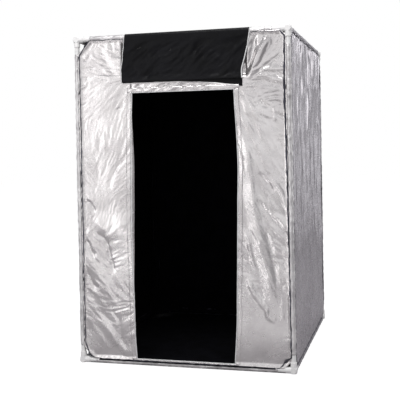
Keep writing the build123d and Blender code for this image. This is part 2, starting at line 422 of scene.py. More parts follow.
def bumps(tree, shader, *layers):
    """Stacks bumps made of noise; a layer is (distance, and what the noise is made with)."""
    last = None
    for distance, *noise in layers:
        bump = new_node(tree, "Bump", Distance=distance, Strength=1.0)
        tree.links.new(noise_node(tree, *noise), bump.inputs["Height"])
        if last is not None:
            tree.links.new(last, bump.inputs["Normal"])
        last = bump.outputs["Normal"]
    tree.links.new(last, shader.inputs["Normal"])


def start_material(name, **sockets):
    """A new material, its node tree and its shader, with the values of the shader's sockets."""
    material = bpy.data.materials.new(name)
    material.use_nodes = True
    tree = material.node_tree
    shader = tree.nodes["Principled BSDF"]
    for socket, value in sockets.items():
        shader.inputs[socket.replace("_", " ")].default_value = value
    return material, tree, shader


def foil_fabric(name, light, dark, roughness, crinkle, stretch=(1, 1, 1)):
    """Fabric with a silver coating: a soft metal sheen, finely creased, duller where it is rubbed."""
    material, tree, shader = start_material(name, Metallic=0.85)
    varied(tree, shader, "Base Color", 11, dark + (1,), light + (1,), start=0.3, end=0.62)
    varied(tree, shader, "Roughness", 30, grey(roughness - 0.05), grey(roughness + 0.07))
    bumps(tree, shader, (0.0004 * crinkle, 150, 3, 0.55, stretch), (0.0001, 600, 2, 0.6))
    return material


def woven_black(name, tone, roughness, sheen=0.0, gloss=0.15):
    """Closely woven black cloth."""
    looks = {"Sheen_Weight": sheen, "Sheen_Roughness": 0.45, "Specular_IOR_Level": gloss}
    material, tree, shader = start_material(name, Roughness=roughness, **looks)
    dark = (tone * 0.75, tone * 0.75, tone * 0.95, 1)
    light = (tone * 1.25, tone * 1.25, tone * 1.7, 1)
    varied(tree, shader, "Base Color", 14, dark, light)
    bumps(tree, shader, (0.0019, 60, 3), (0.0003, 900, 1, 0.5))
    return material


def moulded(name, tone, roughness):
    """White plastic, faintly uneven from handling."""
    material, tree, shader = start_material(name, Coat_Weight=0.15, Coat_Roughness=0.2)
    pale = (tone, 0.985 * tone, 0.975 * tone, 1)
    varied(tree, shader, "Base Color", 40, grey(0.94 * tone), pale)
    varied(tree, shader, "Roughness", 120, grey(roughness - 0.06), grey(roughness + 0.1))
    bumps(tree, shader, (0.0001, 300, 3))
    return material


def corded(name, tone):
    """White corded edging, with the ribs of its weave."""
    material, tree, shader = start_material(name, Roughness=0.6, Sheen_Weight=0.1)
    varied(tree, shader, "Base Color", 60, grey(0.85 * tone), grey(tone), detail=3)
    bumps(tree, shader, (0.0003, 700, 2))
    return material


SILVER = foil_fabric("silver_foil", (0.85, 0.822, 0.82), (0.71, 0.68, 0.684), 0.23, 1.2)
# A darker, slightly purple copy of the silver foil for the side walls and the floor: painted shade.
SIDE_SILVER_PAINTED_SHADE = foil_fabric("side_foil_painted_shade", (0.805, 0.775, 0.81), (0.665, 0.637, 0.67), 0.27, 1.0, (1, 1, 0.3))
SLEEVE_SILVER = foil_fabric("sleeve_foil", (0.93, 0.91, 0.91), (0.62, 0.6, 0.61), 0.38, 5.5)
# A darker, purple-grey copy of the sleeve foil for the right rails: painted shade.
SHADED_SLEEVE = foil_fabric("shaded_sleeve_foil", (0.5, 0.48, 0.51), (0.3, 0.285, 0.31), 0.4, 5.0)
LINING = woven_black("black_lining", 0.005, 0.9, gloss=0.05)
FLAP_BLACK = woven_black("flap_black", 0.0042, 0.4)
BINDING = woven_black("black_binding", 0.055, 0.75, sheen=0.05)
FITTING = moulded("white_fitting", 0.99, 0.32)
PIPE = moulded("white_pipe", 0.97, 0.36)
PIPING = corded("white_piping", 0.88)


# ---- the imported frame
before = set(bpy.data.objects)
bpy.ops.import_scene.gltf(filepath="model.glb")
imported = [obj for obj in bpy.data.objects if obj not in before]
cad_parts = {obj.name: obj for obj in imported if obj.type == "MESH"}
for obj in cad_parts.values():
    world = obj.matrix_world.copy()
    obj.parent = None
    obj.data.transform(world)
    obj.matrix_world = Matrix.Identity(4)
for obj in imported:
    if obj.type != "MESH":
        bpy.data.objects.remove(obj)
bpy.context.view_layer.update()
for name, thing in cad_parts.items():
    if name.startswith("fitting_") or name.endswith("_pipe"):
        thing.data.materials.clear()
        thing.data.materials.append(FITTING if name.startswith("fitting_") else PIPE)


# ---- panels
def corner_over(u, v, wall):
    """How far a point lies outside a wall's cut-off corners."""
    half_u, half_v = SIZES[wall]
    lower_left, lower_right, upper_right, upper_left = CUTS[wall]
    lower = np.where(u < 0, lower_left, lower_right)
    upper = np.where(u < 0, upper_left, upper_right)
    return np.abs(u) - half_u + np.abs(v) - half_v + np.where(v < 0, lower, upper)


def edge_distance(u, v, wall):
    """How far a point lies inside a wall's outline."""
    half_u, half_v = SIZES[wall]
    sides = np.minimum(half_u - np.abs(u), half_v - np.abs(v))
    return np.maximum(np.minimum(sides, -corner_over(u, v, wall) / math.sqrt(2)), 0)


def placed(wall, u, v, out):
    """Points from a wall's own coordinates and how far they stand out."""
    centre, across, up, outward = (np.array(x, float) for x in PLANES[wall])
    u, v, out = (np.asarray(x)[..., None] for x in (u, v, out))
    return centre + across * u + up * v + outward * out


def on_cloth(wall, heights, u, v, lift=0.0):
    """Points on a wall's cloth, lifted off it by lift, as one list."""
    return placed(wall, u, v, heights.at(u, v) + lift).reshape(-1, 3)


def cut_grid(u, v, wall):
    """Which of a grid's faces lie inside the cut-off corners, and the grid moved in onto the cuts."""
    over = corner_over(u, v, wall)
    outside = over > 1e-6
    keep = ~(outside[:-1, :-1] & outside[1:, :-1] & outside[:-1, 1:] & outside[1:, 1:])
    move = np.maximum(over, 0) / 2
    return keep, u - np.sign(u) * move, v - np.sign(v) * move


def make_panel(wall, heights, step, silver):
    """A wall's cloth, with its corners cut off."""
    us, vs = (np.linspace(-half, half, int(2 * half / step) + 1) for half in SIZES[wall])
    keep, u, v = cut_grid(*np.meshgrid(us, vs), wall)
    points = on_cloth(wall, heights, u, v)
    return cloth_sheet(f"{wall}_cloth", points, len(vs), len(us), [silver, LINING], keep)


def outline(half_u, half_v, cuts):
    """A panel's outline as (u, v) corners, anticlockwise from the foot of its lower left cut."""
    corners = []
    for side, level, cut in zip((-1, 1, 1, -1), (-1, -1, 1, 1), cuts):
        ends = [(side * half_u, level * (half_v - cut)), (side * (half_u - cut), level * half_v)]
        corners += ends if side == level else ends[::-1]
    return corners[1:] + corners[:1]


def across_path(tangent):
    """The directions a quarter turn to the left of a path's own."""
    return np.stack([-tangent[:, 1], tangent[:, 0]], axis=1)


def make_binding(wall, path, seed, lift, width):
    """The black seam round a wall, uneven as sewn tape is. width is a number, or a function of (u, v)."""
    rng = np.random.default_rng(seed)
    path = spaced(path, PATH_STEP, closed=True)
    at = np.arange(len(path)) * PATH_STEP
    across = across_path(unit(np.roll(path, -1, axis=0) - np.roll(path, 1, axis=0)))
    sway = 0.0006 * np.sin(at * TAU / 0.11 + rng.uniform(0, TAU))
    sway += 0.0004 * np.sin(at * TAU / 0.043 + rng.uniform(0, TAU))
    path = path + across * sway[:, None]
    uneven = 1 + 0.22 * np.sin(at * TAU / 0.071 + rng.uniform(0, TAU)) + 0.14 * np.sin(at * TAU / 0.029)
    width = width(path[:, 0], path[:, 1]) if callable(width) else width
    zero = np.zeros(len(path))
    centre, *_, outward = np.array(PLANES[wall], float)
    points = placed(wall, path[:, 0], path[:, 1], zero + lift)
    sides = placed(wall, across[:, 0], across[:, 1], zero) - centre
    outs = np.broadcast_to(outward, points.shape)
    return ribbon(f"{wall}_seam", points, sides, outs, width * uneven, 0.0026, BINDING, closed=True)


def bowl(u, v, half_u, half_v):
    """1 in the middle of a panel, 0 at its edges."""
    return np.cos(u / half_u * math.pi / 2) * np.cos(v / half_v * math.pi / 2)


def side_heights(wall, seed):
    """A wall without a doorway: it hangs in a little, with long drawn wrinkles, strongest near the top."""
    made = HeightMap(*SIZES[wall])
    u, v = made.u, made.v
    rng = np.random.default_rng(seed)
    angle = np.radians(91 + waves(u, v, rng, 0.5, 7.0, 8))
    upper = smooth((v + 0.25) / 0.8)
    h = (0.001 + 0.001 * upper) * streaks(u.shape, rng, angle, 0.0062, 0.16)
    h += (0.001 + 0.0026 * upper**3) * streaks(u.shape, rng, angle, 0.016, 0.16)
    h += wrinkled(u.shape, rng, angle, 0.35) + waves(u, v, rng, 0.35, 0.0016, 10)
    h -= 0.006 * bowl(u, v, *SIZES[wall])
    h = np.where(h > 0.003, 0.003 + 0.3 * (h - 0.003), h)  # it bulges outwards only a little
    h *= smooth(edge_distance(u, v, wall) / 0.03)
    h += puckers(PANEL_Z - v, u, rng, 0.026, 0.06, 0.0014)
    made.height = h + puckers(PANEL_Z + v, u, rng, 0.031, 0.035, 0.001)
    return made


def roof_heights():
    """The roof sags between its rails, and lies lower and smoother under the flap."""
    made = HeightMap(*SIZES["roof"])
    u, v = made.u, made.v
    rng = np.random.default_rng(71)
    angle = np.radians(40 + waves(u, v, rng, 0.4, 30.0, 8))
    rough = waves(u, v, rng, 0.22, 0.0015, 12) + wrinkled(u.shape, rng, angle, 0.9)
    under_flap = smooth((0.335 - np.abs(u - FLAP_MID)) / 0.02)
    rough = rough * (1 - 0.6 * under_flap) - 0.0022 * under_flap
    edge = edge_distance(u, v, "roof")
    made.height = -ROOF_SAG * bowl(u, v, PANEL_X, PANEL_Y) + (rough - 0.003) * smooth(edge / 0.04)
    return made


def floor_heights():
    """The floor lies on the ground, with a few low ripples."""
    made = HeightMap(*SIZES["floor"])
    ripples = np.abs(waves(made.u, made.v, np.random.default_rng(81), 0.3, 0.5, 10))
    made.height = -0.004 * ripples * smooth((edge_distance(made.u, made.v, "floor") - 0.02) / 0.05)
    return made


# The flap's left and right edges: (distance from its seam, x)
FLAP_LEFT_EDGE = [(0, -0.256), (0.054, -0.2595), (0.094, -0.252), (0.134, -0.248), (0.199, -0.24),
                  (0.5, -0.243), (1.2, -0.247)]
FLAP_RIGHT_EDGE = [(0, 0.272), (0.034, 0.27), (0.084, 0.283), (0.134, 0.296), (0.199, 0.308), (0.5, 0.3),
                   (1.2, 0.29)]
RISE = BEND_Z - SEAM_Z
CORNER_SAVED = (2 - math.pi / 2) * BEND_RADIUS  # the rounded bend is this much shorter than a square one
FLAP_LENGTH = RISE + FLAP_ON_ROOF - CORNER_SAVED

# The flap's creases where it hangs in front: lines of (x, height), height, widths before and after
FLAP_FOLDS = [
    ([(0.12, 1.355), (0.155, 1.335), (0.205, 1.3)], -0.0016, 0.014, 0.012),
    ([(0.125, 1.285), (0.138, 1.303), (0.158, 1.3), (0.168, 1.28)], -0.0012, 0.008, 0.008),
    ([(0.19, 1.225), (0.225, 1.25), (0.262, 1.275)], -0.0015, 0.01, 0.01),
    ([(0.16, 1.222), (0.2, 1.24), (0.245, 1.27)], 0.0008, 0.01, 0.01),
    ([(-0.2, 1.252), (-0.1, 1.248), (0.02, 1.25), (0.1, 1.262)], -0.0014, 0.016, 0.012),
    ([(-0.25, 1.25), (-0.22, 1.272), (-0.195, 1.3)], -0.0015, 0.01, 0.01),
    ([(-0.045, 1.36), (-0.02, 1.345), (0.01, 1.32)], -0.0012, 0.012, 0.01),
    ([(0.23, 1.4), (0.25, 1.355), (0.275, 1.32)], -0.0014, 0.012, 0.012),
]


def flap_path(s):
    """y, z and the outward direction, s from the seam: up the front, over the rail, onto the roof."""
    straight = RISE - BEND_RADIUS
    arc = BEND_RADIUS * math.pi / 2
    turn = np.clip((s - straight) / arc, 0, 1) * math.pi / 2
    on_front = np.minimum(s, straight)
    on_roof = np.maximum(s - straight - arc, 0)
    y = FLAP_Y + BEND_RADIUS * (1 - np.cos(turn)) + on_roof
    z = SEAM_Z + on_front + BEND_RADIUS * np.sin(turn)
    return y, z, -np.cos(turn), np.sin(turn)


def flap_heights():
    """How far the flap stands off its plane; it only dips, so that it clears the wall when it is closed."""
    made = HeightMap(0.3, FLAP_LENGTH / 2)
    x, s = made.u + FLAP_MID, made.v + FLAP_LENGTH / 2
    rng = np.random.default_rng(61)
    angle = np.radians(35 + waves(x, s, rng, 0.3, 25.0, 8))
    soft = waves(x, s, rng, 0.16, 0.001, 14) + 0.0006 * streaks(x.shape, rng, angle, 0.0095, 0.045)
    soft += wrinkled(x.shape, rng, angle, 1.5)
    for line, height, before, after in FLAP_FOLDS:
        soft += fold(x, s + SEAM_Z, line, height, before, after)
    on_front = smooth((RISE - 0.02 - s) / 0.05) * smooth(s / 0.03)
    on_roof = smooth((s - RISE - 0.01) / 0.06)
    y = FLAP_Y + (s - RISE)
    sag = -ROOF_SAG * bowl(np.clip(x, -PANEL_X, PANEL_X), np.clip(y, -PANEL_Y, PANEL_Y), PANEL_X, PANEL_Y)
    h = on_front * (soft - 0.0042) + on_roof * (sag + 0.55 * soft - 0.0015)
    made.height = np.minimum(h, 0.0004)
    return made


flap_map = flap_heights()


# How the front wall's wrinkles lie: (x, height above the ground, degrees, strength)
FRONT_GRAIN = [
    (-0.42, 1.37, 60, 0.7), (-0.36, 1.32, -30, 0.5), (-0.3, 1.26, 0, 0.7), (-0.43, 1.25, 10, 0.6),
    (-0.43, 1.15, 30, 0.5), (-0.35, 1.15, 45, 0.3), (-0.27, 1.15, 55, 0.3), (-0.25, 1.03, 72, 0.5),
    (-0.35, 1, 85, 0.2), (-0.42, 0.85, -40, 0.3), (-0.35, 0.85, 60, 0.3), (-0.27, 0.8, 42, 0.6),
    (-0.27, 0.72, 40, 0.4), (-0.33, 0.65, 80, 0.2), (-0.42, 0.6, 60, 0.4), (-0.3, 0.53, 30, 0.3),
    (-0.27, 0.45, 25, 0.5), (-0.4, 0.5, -50, 0.4), (-0.38, 0.38, -40, 0.4), (-0.3, 0.34, -55, 0.3),
    (-0.43, 0.28, -35, 0.4), (-0.3, 0.23, 10, 0.5), (-0.27, 0.17, 40, 0.4), (-0.36, 0.17, -45, 0.2),
    (-0.4, 0.06, -50, 0.5), (-0.3, 0.05, -60, 0.3), (0.34, 1.37, 62, 0.7), (0.37, 1.31, 70, 0.5),
    (0.42, 1.36, 70, 0.8), (0.4, 1.3, 10, 0.6), (0.42, 1.23, -15, 1), (0.4, 1.19, -8, 0.9),
    (0.3, 1.17, -5, 1), (0.35, 1.15, 80, 0.4), (0.4, 1.13, 5, 0.5), (0.27, 1.1, -70, 0.8),
    (0.35, 1.07, -30, 0.5), (0.3, 1, -65, 0.5), (0.4, 0.97, -75, 0.3), (0.33, 0.9, -70, 0.4),
    (0.42, 0.85, -60, 0.5), (0.27, 0.8, -85, 0.1), (0.27, 0.65, -60, 0.3), (0.36, 0.72, -65, 0.4),
    (0.37, 0.6, -60, 0.4), (0.42, 0.52, -30, 0.9), (0.27, 0.5, -40, 0.5), (0.33, 0.52, -65, 0.1),
    (0.42, 0.4, -60, 0.5), (0.27, 0.35, -10, 0.2), (0.41, 0.27, 85, 0.9), (0.35, 0.15, 88, 0.15),
    (0.43, 0.13, 20, 0.3), (0.42, 0.07, 20, 0.4), (0, 1.2, 30, 0.8), (0, 1.35, 30, 0.5), (0, 0.02, 90, 0.5),
]

# The front wall's main folds: lines of (x, height), how high each stands before FOLD_GAIN, and its widths
# before and after the line
FOLD_GAIN = 1.6
FRONT_FOLDS = [
    # beside the flap: a deep hollow, a bright ridge, and the long drawn line up to the corner
    ([(0.325, 1.4), (0.322, 1.35), (0.304, 1.28), (0.284, 1.21)], -0.0064, 0.02, 0.018),
    ([(0.392, 1.4), (0.362, 1.35), (0.335, 1.3), (0.311, 1.25), (0.296, 1.205)], 0.0054, 0.018, 0.028),
    ([(0.442, 1.35), (0.435, 1.32), (0.42, 1.3), (0.4, 1.285), (0.375, 1.265), (0.35, 1.25), (0.33, 1.23),
      (0.29, 1.205)], -0.0016, 0.011, 0.008),
    ([(0.4, 1.385), (0.4, 1.37), (0.405, 1.34)], -0.0012, 0.009, 0.009),
    ([(0.435, 1.385), (0.425, 1.36), (0.413, 1.34)], 0.0014, 0.01, 0.01),
    ([(0.32, 1.206), (0.36, 1.2), (0.4, 1.193), (0.442, 1.184)], -0.0012, 0.01, 0.007),
    ([(0.395, 1.238), (0.415, 1.23), (0.432, 1.217), (0.446, 1.2)], -0.0012, 0.009, 0.008),
    ([(0.285, 1.182), (0.3, 1.176), (0.33, 1.172)], -0.0014, 0.012, 0.008),
    ([(0.32, 1.1), (0.34, 1.115), (0.36, 1.11), (0.375, 1.085)], -0.0012, 0.008, 0.01),
    ([(0.38, 1.11), (0.41, 1.116), (0.44, 1.1)], -0.0012, 0.008, 0.01),
    ([(0.403, 1.1), (0.405, 1.03)], 0.0014, 0.008, 0.01),
    ([(0.255, 1.185), (0.28, 1.155), (0.31, 1.1), (0.325, 1.07), (0.345, 1.03)], 0.0016, 0.01, 0.012),
    # the long bright fold down the right side, in one sweep, and its branches
    ([(0.252, 1.09), (0.262, 1.02), (0.272, 0.97), (0.283, 0.93), (0.292, 0.88), (0.298, 0.82),
      (0.305, 0.77), (0.311, 0.7), (0.318, 0.65), (0.325, 0.6), (0.34, 0.5), (0.355, 0.45),
      (0.368, 0.4), (0.376, 0.33), (0.384, 0.24), (0.39, 0.18)], 0.0054, 0.038, 0.028),
    ([(0.24, 1.08), (0.244, 0.98), (0.242, 0.86), (0.24, 0.74), (0.244, 0.62), (0.262, 0.5)],
     -0.0036, 0.02, 0.05),
    ([(0.265, 0.6), (0.285, 0.55), (0.293, 0.5), (0.305, 0.45), (0.322, 0.4)], 0.0028, 0.012, 0.01),
    ([(0.278, 0.415), (0.29, 0.36), (0.305, 0.325), (0.33, 0.29), (0.35, 0.265), (0.368, 0.225),
      (0.41, 0.205)], 0.0036, 0.015, 0.018),
    ([(0.38, 0.815), (0.41, 0.77), (0.43, 0.74), (0.445, 0.69), (0.448, 0.65)], 0.0034, 0.022, 0.014),
    ([(0.33, 0.83), (0.345, 0.81), (0.36, 0.785), (0.375, 0.78), (0.39, 0.755), (0.412, 0.738)],
     -0.002, 0.012, 0.01),
    ([(0.38, 0.645), (0.41, 0.64), (0.43, 0.62), (0.447, 0.575)], 0.002, 0.012, 0.016),
    ([(0.355, 0.61), (0.375, 0.52), (0.392, 0.43), (0.402, 0.345)], -0.0022, 0.014, 0.018),
    ([(0.43, 0.52), (0.444, 0.47), (0.448, 0.41)], 0.0016, 0.012, 0.01),
    ([(0.44, 0.37), (0.434, 0.34), (0.428, 0.31)], 0.0012, 0.01, 0.01),
    ([(0.42, 0.305), (0.418, 0.21)], 0.0014, 0.007, 0.009),
    # left of the doorway: the border of the bright sheen, and drawn folds below it
    ([(-0.395, 0.655), (-0.37, 0.6), (-0.345, 0.58), (-0.33, 0.56), (-0.3, 0.575), (-0.27, 0.6),
      (-0.232, 0.622)], 0.0028, 0.03, 0.06),
    ([(-0.405, 0.58), (-0.38, 0.56), (-0.355, 0.545), (-0.345, 0.53), (-0.335, 0.5), (-0.33, 0.47),
      (-0.32, 0.44), (-0.315, 0.4), (-0.31, 0.375)], -0.0022, 0.014, 0.01),
    ([(-0.452, 0.55), (-0.43, 0.52), (-0.42, 0.5), (-0.398, 0.455)], -0.003, 0.016, 0.018),
    ([(-0.452, 0.405), (-0.42, 0.36), (-0.388, 0.315)], -0.003, 0.018, 0.018),
    ([(-0.45, 0.49), (-0.41, 0.43), (-0.365, 0.36), (-0.33, 0.3), (-0.3, 0.23)], 0.0016, 0.03, 0.024),
    ([(-0.45, 0.33), (-0.4, 0.265), (-0.35, 0.2), (-0.31, 0.16)], -0.0015, 0.022, 0.026),
    ([(-0.45, 0.23), (-0.41, 0.16), (-0.37, 0.1), (-0.33, 0.05)], 0.0011, 0.022, 0.018),
    ([(-0.41, 0.205), (-0.37, 0.175), (-0.34, 0.14), (-0.31, 0.1), (-0.28, 0.07), (-0.25, 0.04),
      (-0.232, 0.028)], 0.0026, 0.022, 0.026),
    ([(-0.335, 0.235), (-0.31, 0.21), (-0.295, 0.19), (-0.29, 0.15), (-0.285, 0.11), (-0.265, 0.08),
      (-0.248, 0.058)], -0.002, 0.009, 0.012),
    ([(-0.448, 0.712), (-0.42, 0.7), (-0.405, 0.68), (-0.393, 0.652)], -0.0024, 0.018, 0.012),
    ([(-0.235, 0.915), (-0.26, 0.88), (-0.29, 0.85), (-0.31, 0.81), (-0.32, 0.78), (-0.315, 0.745)],
     -0.0012, 0.02, 0.01),
    # the left side above: soft hollows and short creases
    ([(-0.443, 1.338), (-0.425, 1.32), (-0.41, 1.325), (-0.404, 1.35)], -0.0013, 0.008, 0.008),
    ([(-0.312, 1.402), (-0.3, 1.375), (-0.294, 1.355)], -0.0014, 0.008, 0.009),
    ([(-0.35, 1.388), (-0.345, 1.34), (-0.33, 1.31), (-0.31, 1.28), (-0.288, 1.245)], -0.0009, 0.02, 0.022),
    ([(-0.445, 1.28), (-0.41, 1.283), (-0.375, 1.285)], -0.001, 0.008, 0.008),
    ([(-0.345, 1.256), (-0.31, 1.254), (-0.275, 1.256)], -0.001, 0.008, 0.008),
    ([(-0.445, 1.246), (-0.425, 1.244), (-0.408, 1.24)], -0.001, 0.007, 0.008),
    ([(-0.445, 1.194), (-0.42, 1.205), (-0.41, 1.228)], -0.0012, 0.009, 0.008),
    ([(-0.293, 1.1), (-0.26, 1.11), (-0.253, 1.135)], -0.0012, 0.009, 0.008),
    ([(-0.246, 0.995), (-0.238, 1.03), (-0.234, 1.065)], -0.0012, 0.01, 0.009),
    # the strip above the doorway
    ([(-0.025, 1.216), (-0.005, 1.202), (0.022, 1.186)], -0.0014, 0.008, 0.01),
    ([(-0.052, 1.206), (-0.03, 1.208)], -0.0012, 0.006, 0.006),
    ([(-0.195, 1.205), (-0.175, 1.198), (-0.152, 1.178)], -0.001, 0.008, 0.008),
]


def front_heights():
    """The front wall's folds and wrinkles."""
    made = HeightMap(*SIZES["front"])
    u, v = made.u, made.v
    z = v + MID_HEIGHT
    rng = np.random.default_rng(11)
    angle, strength = grain(FRONT_GRAIN, u, z)
    h = waves(u, v, rng, 0.2, 0.001, 12) + wrinkled(u.shape, rng, angle, 0.25 + 0.6 * strength)
    calm = smooth((0.24 - z) / 0.06) * smooth((u - 0.22) / 0.05)  # the lower right corner hangs smooth
    h *= 1 - 0.75 * calm
    for line, height, before, after in FRONT_FOLDS:
        h += FOLD_GAIN * fold(u, z, line, height, before, after)
    edge = edge_distance(u, v, "front")
    h = (h - 0.0055) * smooth(edge / 0.018)
    h += puckers(PANEL_Z - v, u, rng, 0.024, 0.025, 0.0009)
    h += puckers(PANEL_Z + v, u, rng, 0.027, 0.025, 0.0004)
    h += puckers(PANEL_X - np.abs(u), v, rng, 0.03, 0.018, 0.0006)
    h -= 0.003 * smooth((u - 0.425) / 0.006) * smooth((0.058 - z) / 0.006)  # at the lower right cut
    # behind the thrown-back flap the wall lies further in
    across_flap = smooth((u + 0.262) / 0.012) * smooth((0.296 - u) / 0.014)
    behind_flap = across_flap * smooth((z - SEAM_Z - 0.004) / 0.02) * smooth(edge / 0.03)
    h += (np.minimum(h, 0) - BEHIND_FLAP - h) * behind_flap
    # where the closed flap lies, hardly anything stands out as far as it does
    reach = smooth((u + 0.285) / 0.02) * smooth((0.325 - u) / 0.02)
    s = np.abs(SEAM_Z - z)
    ceiling = 0.0014 - flap_map.at(u - FLAP_MID, s - FLAP_LENGTH / 2) + 0.02 * (1 - reach)
    made.height = np.where(h > ceiling, ceiling + 0.15 * (h - ceiling), h)
    return made


front = front_heights()


def door_edge(side, z):
    """x of the doorway's left (-1) or right (1) edge at a height."""
    return curve_at(DOOR_LEFT if side < 0 else DOOR_RIGHT, z)


def front_warp(u, v):
    """Bends the grid so that two of its columns run along the doorway's edges."""
    z = v + MID_HEIGHT
    left, right = door_edge(-1, z), door_edge(1, z)
    inside = left + (u - STRAIGHT_LEFT) / (STRAIGHT_RIGHT - STRAIGHT_LEFT) * (right - left)
    from_left = smooth((u + PANEL_X) / (STRAIGHT_LEFT + PANEL_X))
    from_right = smooth((PANEL_X - u) / (PANEL_X - STRAIGHT_RIGHT))
    left_side = u + (left - STRAIGHT_LEFT) * from_left
    right_side = u + (right - STRAIGHT_RIGHT) * from_right
    outside = np.where(u < STRAIGHT_LEFT, left_side, right_side)
    return np.where((u > STRAIGHT_LEFT) & (u < STRAIGHT_RIGHT), inside, outside)


def front_surface(x, z, lift):
    """Points on the front wall's cloth at (x, height), lifted off it by lift."""
    return on_cloth("front", front, x, z - MID_HEIGHT, lift)


def make_front(step):
    """The front wall's cloth, with its corners cut off and the doorway cut out."""
    breaks_u = (-PANEL_X, STRAIGHT_LEFT, STRAIGHT_RIGHT, PANEL_X)
    breaks_v = (-PANEL_Z, DOOR_BOTTOM - MID_HEIGHT, DOOR_TOP - MID_HEIGHT, PANEL_Z)
    lines = []
    for breaks in (breaks_u, breaks_v):
        spans = [np.linspace(a, b, int((b - a) / step) + 2)[1:] for a, b in zip(breaks[:-1], breaks[1:])]
        lines.append(np.concatenate([breaks[:1]] + spans))
    us, vs = lines
    u, v = np.meshgrid(us, vs)
    keep = cut_grid(u, v, "front")[0]
    mid_u, mid_v = (us[:-1] + us[1:]) / 2, (vs[:-1] + vs[1:]) / 2
    in_hole = (mid_u > STRAIGHT_LEFT) & (mid_u < STRAIGHT_RIGHT)
    in_rows = (mid_v > breaks_v[1]) & (mid_v < breaks_v[2])
    keep &= ~(in_rows[:, None] & in_hole[None, :])
    _, u, v = cut_grid(front_warp(u, v), v, "front")
    points = on_cloth("front", front, u, v)
    return cloth_sheet("front_wall", points, len(vs), len(us), [SILVER, LINING], keep)


heights = {
    "right": side_heights("right", 21),
    "left": side_heights("left", 31),
    "back": side_heights("back", 41),
    "roof": roof_heights(),
    "floor": floor_heights(),
}
panels = {"front": make_front(FRONT_STEP)}
for wall, its_heights in heights.items():
    # the side walls and the floor get the darker foil with painted shade
    silver = SILVER if wall in ("roof", "back") else SIDE_SILVER_PAINTED_SHADE
    panels[wall] = make_panel(wall, its_heights, FLOOR_STEP if wall == "floor" else WALL_STEP, silver)
for wall, piece in panels.items():
    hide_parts(f"{wall}_panel")
    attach(piece, "frame")

# The front wall's seam: (x, height), anticlockwise from the lower left
FRONT_SEAM = [
    (-0.4, 0.024), (-0.37, 0.0215), (-0.25, 0.0215), (-0.15, 0.0205), (0, 0.0205), (0.15, 0.0205),
    (0.25, 0.0215), (0.38, 0.02), (0.406, 0.0205), (0.42, 0.032), (0.434, 0.052), (0.446, 0.0605),
    (0.456, 0.066), (0.4565, 0.1),
    (0.456, 0.3), (0.4545, 0.45), (0.4535, 0.6), (0.452, 0.8), (0.449, 1), (0.4465, 1.1),
    (0.446, 1.2), (0.448, 1.3), (0.449, 1.38), (0.433, 1.4015), (0.3, 1.4032), (0.1, 1.402),
    (-0.1, 1.4033), (-0.3, 1.4022), (-0.4015, 1.403), (-0.426, 1.374), (-0.45, 1.344), (-0.45, 1.2),
    (-0.449, 1), (-0.451, 0.8), (-0.4493, 0.6), (-0.4508, 0.4), (-0.4498, 0.2), (-0.45, 0.095),
    (-0.444, 0.07), (-0.436, 0.054), (-0.434, 0.037), (-0.418, 0.029),
]


def front_seam_width(u, v):
    """Thin along the top and the foot; wider down the right side, most where it is drawn in by the flap."""
    drawn = np.exp(-((v + MID_HEIGHT - 1.15) / 0.09) ** 2)
    sides = np.where(u > 0.4, 0.0054 + 0.0026 * drawn, 0.0042)
    return np.where(np.abs(v) > PANEL_Z - 0.008, 0.0026, sides)


bindings = {}
for seed, (wall, (half_u, half_v)) in enumerate(SIZES.items(), 50):
    if wall == "front":
        path, lift, width = [(x, z - MID_HEIGHT) for x, z in FRONT_SEAM], 0.0006, front_seam_width
    else:
        path, lift, width = outline(half_u - SEAM_INSET, half_v - SEAM_INSET, CUTS[wall]), 0.0004, SEAM_WIDTH
    lift = -0.0014 if wall == "floor" else lift
    tape = make_binding(wall, path, seed, lift, width)
    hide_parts(f"{wall}_binding")
    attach(tape, "frame")
    bindings[wall] = tape


def make_corner_lining(name, side, up):
    """The black lining that crosses a back corner inside, in front of its fitting."""
    count = 15
    centre = np.array((side * AXIS_X, AXIS_Y, AXIS_HIGH if up > 0 else AXIS_LOW))
    a, share = np.indices((count, count)) / (count - 1)
    b = share * (1 - a)
    c = 1 - a - b
    bulge = 1 - 1.1 * a * b * c
    reach = np.stack([-side * a, -b, -up * c], axis=-1) * 0.13
    points = (centre + reach * bulge[..., None]).reshape(-1, 3)
    return cloth_sheet(name, points, count, count, [LINING, LINING], thickness=0.0008 * side * up)


for side_name, side in (("left", -1), ("right", 1)):
    for level_name, up in (("bottom", -1), ("top", 1)):
        lining = make_corner_lining(f"corner_lining_{level_name}_{side_name}", side, up)
        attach(lining, "frame")


# ---- doorway edging
def edging(name, line, width, height, lift, material, wobble=0.0, seed=0, closed=False):
    """A strip or cord that follows the front wall along a line of (x, height)."""
    path = spaced(line, PATH_STEP, closed)
    across = across_path(unit(np.gradient(path, axis=0)))
    phase = np.arange(len(path)) * PATH_STEP * TAU / 0.09 + np.random.default_rng(seed).uniform(0, TAU)
    path = path + across * (wobble * np.sin(phase))[:, None]
    points = front_surface(path[:, 0], path[:, 1], lift)
    sides = np.stack([across[:, 0], np.zeros(len(path)), across[:, 1]], axis=1)
    outs = np.broadcast_to(np.array((0.0, -1.0, 0.0)), points.shape)
    return ribbon(name, points, sides, outs, width, height, material, closed, around=10)


def door_outline(inset, count=60):
    """The doorway's outline as (x, height), moved outwards by inset, from lower left to lower right."""
    z = np.linspace(DOOR_BOTTOM - inset, DOOR_TOP + inset, count)
    left, right = (np.stack([door_edge(side, z) + side * inset, z], axis=1) for side in (-1, 1))
    return np.vstack([left, right[::-1]])


def facing(name, x, z, material):
    """A strip of cloth sewn flat onto the front wall, over a grid of (x, height)."""
    return cloth_sheet(name, front_surface(x, z, 0.0012), *x.shape, [material, material], thickness=0.001)


